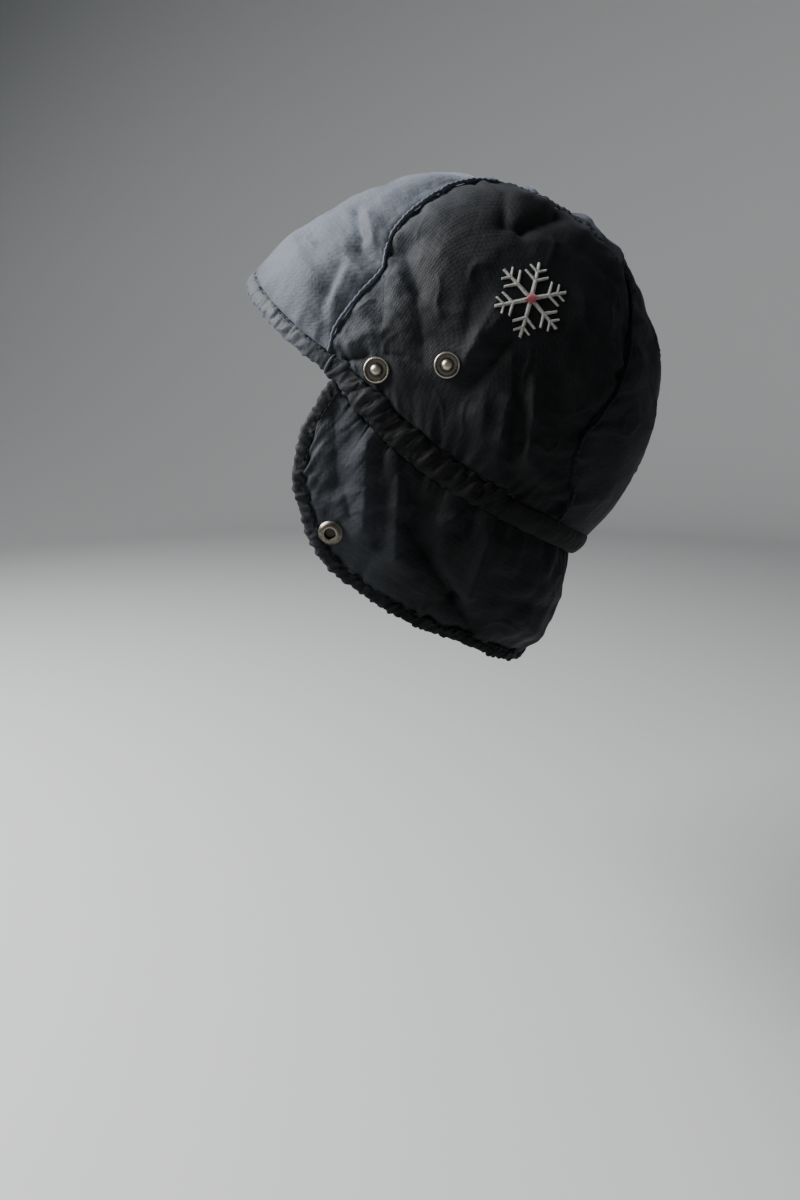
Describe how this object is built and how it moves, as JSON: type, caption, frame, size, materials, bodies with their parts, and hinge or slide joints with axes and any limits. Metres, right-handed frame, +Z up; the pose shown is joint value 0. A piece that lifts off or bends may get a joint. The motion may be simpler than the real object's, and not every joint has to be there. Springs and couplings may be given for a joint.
{
  "type": "aviator hat",
  "caption": "Padded cotton aviator hat with a long centre panel, side panels, a gathered band and a deep ear and neck flap that snaps up at the temples.",
  "frame": {"origin": "inside top of the crown, where the top of the head touches", "axes": "+Z up, the wearer faces -Y, the wearer's left is +X"},
  "size_m": [0.1722, 0.2214, 0.2619],
  "materials": {
    "centre_cloth": "plain weave cotton, matt",
    "side_cloth": "plain weave cotton, matt",
    "rim_cloth": "plain weave cotton, matt",
    "band_cloth": "plain weave cotton, matt",
    "flap_cloth": "plain weave cotton, matt",
    "hem_cloth": "plain weave cotton, matt",
    "snap_metal": "antique nickel, worn"
  },
  "bodies": {
    "root": {"centre_panel": "centre_cloth", "side_panel_left": "side_cloth", "side_panel_right": "side_cloth", "front_rim": "rim_cloth", "band_left": "band_cloth", "band_right": "band_cloth", "band_nape": "band_cloth", "flap": "flap_cloth", "flap_hem": "hem_cloth", "snap_stud_front_left": "snap_metal", "snap_stud_front_right": "snap_metal", "snap_stud_rear_left": "snap_metal", "snap_stud_rear_right": "snap_metal", "snap_socket_left": "snap_metal", "snap_socket_right": "snap_metal"}
  },
  "joints": []
}
